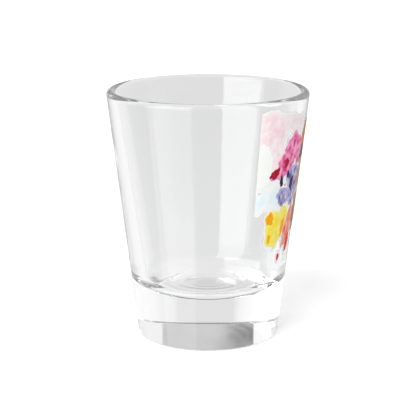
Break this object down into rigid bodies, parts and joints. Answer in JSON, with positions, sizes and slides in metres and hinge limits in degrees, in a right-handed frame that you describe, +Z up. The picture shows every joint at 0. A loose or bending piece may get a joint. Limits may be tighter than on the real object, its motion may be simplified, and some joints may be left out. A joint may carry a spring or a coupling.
{
  "type": "printed shot glass",
  "caption": "Tapered round shot glass with a rounded lip, a heavy solid base and a paint-splash print wrapped part of the way round its wall.",
  "frame": {"origin": "centre of the foot's resting face, on the table", "axes": "+Z up along the glass's axis of revolution, out of the bowl; +X out through the print, just beside its long brown stroke; +Y completes a right-handed frame"},
  "size_m": [0.0484, 0.0484, 0.06],
  "materials": {
    "clear_glass": "clear, fire-polished",
    "ink_white": "opaque cured ink, satin",
    "ink_blush": "cured ink, satin",
    "ink_mint": "cured ink, satin",
    "ink_sky": "cured ink, satin",
    "ink_lemon": "cured ink, satin",
    "ink_coral": "cured ink, satin",
    "ink_rose": "cured ink, satin",
    "ink_violet": "cured ink, satin",
    "ink_umber": "cured ink, satin",
    "ink_orange": "cured ink, satin",
    "ink_crimson": "cured ink, satin",
    "ink_indigo": "cured ink, satin",
    "ink_red": "cured ink, satin"
  },
  "bodies": {
    "root": {"glass_body": "clear_glass", "print_white_ground": "ink_white", "print_blush_wash": "ink_blush", "print_mint_wash": "ink_mint", "print_sky_wash": "ink_sky", "print_lemon_wash": "ink_lemon", "print_coral_wash": "ink_coral", "print_rose_bloom": "ink_rose", "print_violet_bloom": "ink_violet", "print_umber_stroke": "ink_umber", "print_orange_accents": "ink_orange", "print_crimson_accents": "ink_crimson", "print_indigo_accents": "ink_indigo", "print_red_drops": "ink_red"}
  },
  "joints": []
}
